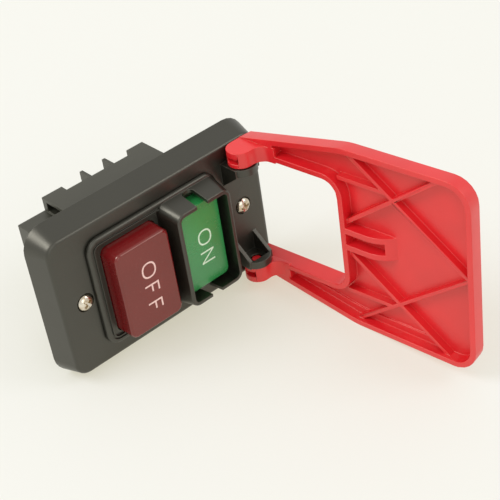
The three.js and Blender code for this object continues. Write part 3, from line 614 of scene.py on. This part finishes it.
off_x, off_face = face_of("off_button")
on_x, on_face_y = face_of("on_button")
OFF_SHIFT, ON_SHIFT = 0.1, 0.8  # the words stand a little off the middle
OFF_LETTERS = [(O_WIDTH, 6.2), (letter_f(F_WIDTH), -2.7), (letter_f(F_WIDTH), -11.2)]
ON_LETTERS = [(O_WIDTH, 3.3), (letter_n(N_WIDTH), -6.3)]
add_lettering("off", OFF_LETTERS, off_x + OFF_SHIFT, off_face, OFF_INK)
add_lettering("on", ON_LETTERS, on_x + ON_SHIFT, on_face_y, ON_INK)

# %% [markdown]
# A machine screw is a domed head with a tapered cross for the driver, and a shank with a thread. A
# thread follows a path, so Geometry Nodes make it: a triangle is swept along a spiral. The tree's
# inputs are the thread's radius, number of turns, length and tooth, in metres.

# %% Geometry Nodes: a thread
POINTS_PER_TURN = 24


def thread_tree():
    tree = bpy.data.node_groups.new("thread", "GeometryNodeTree")
    face = tree.interface
    sockets = {
        name: face.new_socket(name, in_out="INPUT", socket_type="NodeSocketFloat")
        for name in ("Radius", "Turns", "Length", "Tooth")
    }
    sockets["Material"] = face.new_socket("Material", in_out="INPUT", socket_type="NodeSocketMaterial")
    face.new_socket("Geometry", in_out="OUTPUT", socket_type="NodeSocketGeometry")
    given = tree.nodes.new("NodeGroupInput")
    spiral = tree.nodes.new("GeometryNodeCurveSpiral")
    triangle = tree.nodes.new("GeometryNodeCurvePrimitiveCircle")
    sweep = tree.nodes.new("GeometryNodeCurveToMesh")
    real = tree.nodes.new("GeometryNodeRealizeInstances")
    paint = tree.nodes.new("GeometryNodeSetMaterial")
    result = tree.nodes.new("NodeGroupOutput")
    spiral.inputs["Resolution"].default_value = POINTS_PER_TURN
    triangle.inputs["Resolution"].default_value = 3
    sweep.inputs["Fill Caps"].default_value = True
    for source, name, target, entry in (
        (given, "Turns", spiral, "Rotations"),
        (given, "Radius", spiral, "Start Radius"),
        (given, "Radius", spiral, "End Radius"),
        (given, "Length", spiral, "Height"),
        (given, "Tooth", triangle, "Radius"),
        (spiral, "Curve", sweep, "Curve"),
        (triangle, "Curve", sweep, "Profile Curve"),
        (sweep, "Mesh", real, "Geometry"),
        (real, "Geometry", paint, "Geometry"),
        (given, "Material", paint, "Material"),
        (paint, "Geometry", result, "Geometry"),
    ):
        tree.links.new(source.outputs[name], target.inputs[entry])
    return tree, {name: socket.identifier for name, socket in sockets.items()}


THREAD, THREAD_INPUTS = thread_tree()


def thread_mesh(**values):
    """A swept thread along +Z from the origin; the values are named as the tree's inputs."""
    piece = scratch(bpy.data.meshes.new("thread"))
    modifier = piece.modifiers.new("thread", "NODES")
    modifier.node_group = THREAD
    for name, value in values.items():
        modifier[THREAD_INPUTS[name]] = value
    return evaluated(piece)


print("thread inputs:", ", ".join(THREAD_INPUTS))

# %% [markdown]
# The rest of the screw is a profile turned about its axis, with the cross cut out of the head by a
# Boolean and a fine bevel on what that leaves. The cross is one outline of twelve points, lofted
# to a smaller one at its point: two crossing boxes would cut into each other, and the Boolean
# needs a cutter that is one clean solid.

# %% Screws
TURNED_SIDES = 32
CROSS = {"reach": 0.34, "thick": 0.09, "depth": 0.75}  # shares of the head's width and height
CROSS_RISE = 0.6  # how far the cutter stands out of the head
CROSS_TOP, CROSS_POINT = 1.15, 0.42  # how wide its two ends are
CROSS_EDGE_MM = 0.06
HEAD_RIM = 0.96  # the head's underside, as a share of its width
TIP_SHARE = 0.5  # the shank's end, as a share of its core
THREAD_TO_TIP, THREAD_TO_HEAD = 0.8, 1.4  # plain lengths of shank
FACE_SCREW = {"head": 7.4, "height": 2.3, "shank": 3.5, "length": 20.5, "tooth": 0.22, "pitch": 0.7}
COVER_SCREW = {"head": 5.0, "height": 1.5, "shank": 2.6, "length": 8.8, "tooth": 0.2, "pitch": 0.7}


def turned(work, profile):
    """Adds a closed turned shape about Z; the profile starts and ends on the axis."""
    angles = [2 * math.pi * k / TURNED_SIDES for k in range(TURNED_SIDES)]
    rings = []
    for radius, z in profile:
        around = angles if radius else [0]
        spots = [(radius * math.cos(a), radius * math.sin(a), z) for a in around]
        rings.append([work.verts.new(Vector(spot) * MM) for spot in spots])
    for low, high in zip(rings, rings[1:]):
        for k in range(TURNED_SIDES):
            m = (k + 1) % TURNED_SIDES
            corners = [low[k % len(low)], low[m % len(low)], high[m % len(high)], high[k % len(high)]]
            work.faces.new(list(dict.fromkeys(corners)))


def cross_cutter(head, height, material):
    """A cross that narrows towards its point, for a driver's recess."""
    reach, thick = head * CROSS["reach"], head * CROSS["thick"]
    quarter = ((reach, -thick), (reach, thick), (thick, thick))
    turns = [Matrix.Rotation(math.pi / 2 * k, 2) for k in range(4)]
    outline = [turn @ Vector(corner) for turn in turns for corner in quarter]
    work = bmesh.new()
    ends = ((height * (1 - CROSS["depth"]), CROSS_POINT), (height + CROSS_RISE, CROSS_TOP))
    loft(work, [loop_of(work, outline, lambda p: Vector((*(p * share), z)) * MM) for z, share in ends])
    return mesh_of(work, "cross", material)


def screw_mesh(head, height, shank, length, tooth, pitch, material):
    """A screw about +Z whose head's underside is at the origin."""
    core = shank / 2 - tooth
    slopes = [math.radians(d) for d in range(4, 90, 8)]
    dome = [(head / 2 * math.cos(a), height * math.sin(a)) for a in slopes]
    point = [(0, -length), (core * TIP_SHARE, -length), (core, -length + 1)]
    work = bmesh.new()
    turned(work, [*point, (core, 0), (head / 2 * HEAD_RIM, 0), *dome, (0, height)])
    piece = scratch(mesh_of(work, "screw", material))
    cutter = scratch(cross_cutter(head, height, material))
    cut = piece.modifiers.new("recess", "BOOLEAN")
    cut.operation = "DIFFERENCE"
    cut.object = cutter
    cut.solver = "EXACT"
    body = evaluated(piece)
    bpy.data.objects.remove(cutter)
    body = bevelled(body, CROSS_EDGE_MM, 2)
    reach = length - THREAD_TO_TIP - THREAD_TO_HEAD
    thread = thread_mesh(
        Radius=(shank / 2 - tooth * 0.5) * MM, Turns=reach / pitch, Length=reach * MM,
        Tooth=tooth * MM, Material=material,
    )
    thread.transform(Matrix.Translation((0, 0, (THREAD_TO_TIP - length) * MM)))
    work = bmesh.new()
    work.from_mesh(body)
    work.from_mesh(thread)
    work.to_mesh(body)
    work.free()
    body.materials.clear()
    body.materials.append(material)
    return softly_shaded(body)


def add_screw(node, turn_degrees, size, material, outward):
    """A screw in place of its plain solid; outward is -1 for the front and 1 for the back."""
    low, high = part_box(node)
    mesh = screw_mesh(material=material, **size)
    head_out = low.y if outward < 0 else high.y
    seat = head_out - outward * size["height"] * MM
    place = Vector(((low.x + high.x) / 2, seat, (low.z + high.z) / 2))
    tip = Matrix.Rotation(-outward * math.pi / 2, 4, "X")
    spin = Matrix.Rotation(math.radians(turn_degrees), 4, "Z")
    mesh.transform(Matrix.Translation(place) @ tip @ spin)
    add_piece(node + "_driven", mesh, "base", [node])


add_screw("faceplate_screw_left", 38, FACE_SCREW, NICKEL, -1)
add_screw("faceplate_screw_right", 12, FACE_SCREW, NICKEL, -1)
add_screw("cover_screw_1", 55, COVER_SCREW, ZINC, 1)
add_screw("cover_screw_2", 20, COVER_SCREW, ZINC, 1)

# %% [markdown]
# The table is a sheet of pale paper. The switch rests on the faceplate's rear lower edge and on
# the lowest point that its open paddle offers, so the table isn't level with the faceplate: it is
# tilted until it touches both. Light comes to the paper from every side of a white studio, so
# shadows on it are faint and warm. A glow of its own stands for the light that the lamps leave out.

# %% The table
TABLE_REACH = 6.0  # metres from the middle to each side
PAPER = (0.304, 0.324, 0.376)
PAPER_GLOW = (0.533, 0.506, 0.387)


def resting_slope():
    """How far the table drops for each metre in front of the rear lower edge, and that edge."""
    low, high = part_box("faceplate")
    edge = Vector((0, high.y, low.z))
    drops = [(edge.z - v.co.z) / (edge.y - v.co.y) for v in NODES["stop_paddle"].data.vertices]
    return max(drops), edge


def add_table():
    slope, edge = resting_slope()
    across = Vector((1, 0, 0))
    along = Vector((0, -slope, 1)).normalized().cross(across)
    signs = ((-1, -1), (1, -1), (1, 1), (-1, 1))
    corners = [edge + TABLE_REACH * (a * across + b * along) for a, b in signs]
    mesh = bpy.data.meshes.new("table")
    mesh.from_pydata([tuple(corner) for corner in corners], [], [(0, 1, 2, 3)])
    table = bpy.data.objects.new("table", mesh)
    bpy.context.scene.collection.objects.link(table)
    shader = Shader("table_paper")
    shader.set(
        Base_Color=PAPER,
        Emission_Color=PAPER_GLOW,
        Emission_Strength=1.0,
        Roughness=0.75,
        Normal=shader.bump(shader.noise(1.5, detail=4), 0.01),
    )
    mesh.materials.append(shader.material)
    print("table tilt:", round(math.degrees(math.atan(slope)), 1), "degrees")


add_table()

# %% [markdown]
# The light is soft and almost white. A big lamp high at the back left draws the pale tops of the
# paddle's walls, a second from the front right fills its tray, and a weak wide one at the front
# keeps the black faces readable. The plain view transform keeps the colours as they are mixed.

# %% Light
SWITCH_MIDDLE = Vector((0.01, -0.03, 0))


def add_lamp(name, place, size, watts, colour):
    """A round lamp that points at the middle of the switch."""
    data = bpy.data.lights.new(name, "AREA")
    data.shape = "DISK"
    data.size = size
    data.energy = watts
    data.color = colour
    lamp = bpy.data.objects.new(name, data)
    lamp.location = place
    lamp.rotation_euler = (SWITCH_MIDDLE - Vector(place)).to_track_quat("-Z", "Y").to_euler()
    bpy.context.scene.collection.objects.link(lamp)


def add_sky(colour, strength):
    world = bpy.data.worlds.new("studio")
    world.use_nodes = True
    background = world.node_tree.nodes["Background"]
    background.inputs["Color"].default_value = (*colour, 1)
    background.inputs["Strength"].default_value = strength
    bpy.context.scene.world = world


add_sky((1.0, 0.995, 0.975), 0.80)
add_lamp("key", (-1.9, 0.9, 2.7), 1.8, 54.0, (1.0, 0.99, 0.965))
add_lamp("fill", (1.7, -1.9, 2.1), 1.5, 20.0, (1.0, 0.985, 0.965))
add_lamp("front", (-0.9, -2.8, 1.3), 2.2, 14.0, (1.0, 0.99, 0.97))
bpy.context.scene.view_settings.view_transform = "Standard"
bpy.context.scene.view_settings.look = "None"
print("lamps:", 3)
